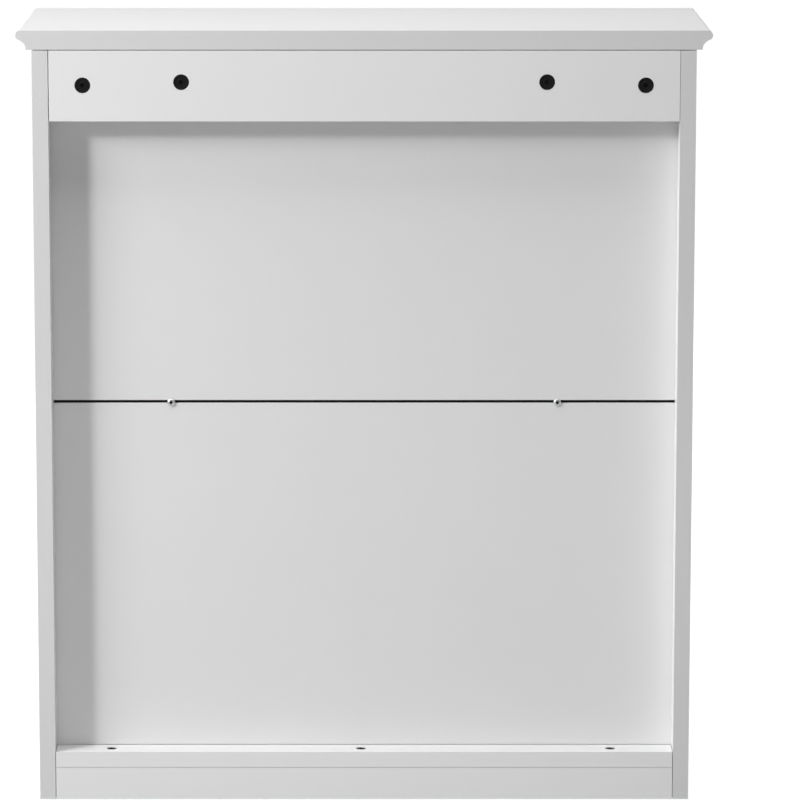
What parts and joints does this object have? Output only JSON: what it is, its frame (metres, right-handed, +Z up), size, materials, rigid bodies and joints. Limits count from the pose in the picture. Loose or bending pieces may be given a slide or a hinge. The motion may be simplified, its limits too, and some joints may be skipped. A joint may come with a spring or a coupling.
{
  "type": "shoe cabinet",
  "caption": "Slim white shoe cabinet with a moulded top, flip-down door units that hold shoe racks, an open-framed rear with cam-locked rail and recessed back panels.",
  "frame": {"origin": "on the floor, under the middle of the whole cabinet", "axes": "+Z up; the doors face -Y and the open rear faces +Y; +X is to the right of a person who stands in front of the doors"},
  "size_m": [0.654, 0.258, 0.744],
  "materials": {
    "white_foil": "white foil on particle board, satin",
    "white_back": "white painted hardboard, satin",
    "rack_white": "white melamine on particle board, matte",
    "white_plastic": "white moulded plastic",
    "black_tape": "black cloth tape",
    "black_zinc": "black coated zinc",
    "bright_zinc": "bright zinc plate",
    "satin_nickel": "satin nickel"
  },
  "bodies": {
    "cabinet": {"back_panel_lower": "white_back", "back_panel_screw_left": "bright_zinc", "back_panel_screw_right": "bright_zinc", "back_panel_upper": "white_back", "base_screw_left": "black_zinc", "base_screw_middle": "black_zinc", "base_screw_right": "black_zinc", "bottom_shelf": "white_foil", "cam_bolt_left_end": "bright_zinc", "cam_bolt_left_top": "bright_zinc", "cam_bolt_right_end": "bright_zinc", "cam_bolt_right_top": "bright_zinc", "cam_lock_left_end": "black_zinc", "cam_lock_left_top": "black_zinc", "cam_lock_right_end": "black_zinc", "cam_lock_right_top": "black_zinc", "foot_glide_front_left": "white_plastic", "foot_glide_front_right": "white_plastic", "foot_glide_rear_left": "white_plastic", "foot_glide_rear_right": "white_plastic", "front_plinth": "white_foil", "lower_stop_peg_left": "white_plastic", "lower_stop_peg_right": "white_plastic", "middle_rail": "white_foil", "rear_base_rail": "white_foil", "rear_top_rail": "white_foil", "seam_tape": "black_tape", "side_panel_left": "white_foil", "side_panel_right": "white_foil", "top_board": "white_foil", "upper_stop_peg_left": "white_plastic", "upper_stop_peg_right": "white_plastic"},
    "upper_flip_unit": {"upper_door_panel": "white_foil", "upper_door_rail_bottom": "white_foil", "upper_door_rail_top": "white_foil", "upper_door_stile_left": "white_foil", "upper_door_stile_right": "white_foil", "upper_knob": "satin_nickel", "upper_pivot_pin_left": "bright_zinc", "upper_pivot_pin_right": "bright_zinc", "upper_rack_bracket_left": "white_plastic", "upper_rack_bracket_right": "white_plastic", "upper_rack_divider": "rack_white", "upper_rack_front_base": "rack_white", "upper_rack_rear_base": "rack_white", "upper_rack_rear_board": "rack_white"},
    "lower_flip_unit": {"lower_door_panel": "white_foil", "lower_door_rail_bottom": "white_foil", "lower_door_rail_top": "white_foil", "lower_door_stile_left": "white_foil", "lower_door_stile_right": "white_foil", "lower_knob": "satin_nickel", "lower_pivot_pin_left": "bright_zinc", "lower_pivot_pin_right": "bright_zinc", "lower_rack_bracket_left": "white_plastic", "lower_rack_bracket_right": "white_plastic", "lower_rack_divider": "rack_white", "lower_rack_front_base": "rack_white", "lower_rack_rear_base": "rack_white", "lower_rack_rear_board": "rack_white"}
  },
  "joints": [
    {"name": "upper_flip", "type": "hinge", "parent": "cabinet", "child": "upper_flip_unit", "pos_m": [0, -0.0975, 0.4], "axis": [1, 0, 0], "range_deg": [0, 42]},
    {"name": "lower_flip", "type": "hinge", "parent": "cabinet", "child": "lower_flip_unit", "pos_m": [0, -0.0975, 0.0635], "axis": [1, 0, 0], "range_deg": [0, 42]}
  ]
}
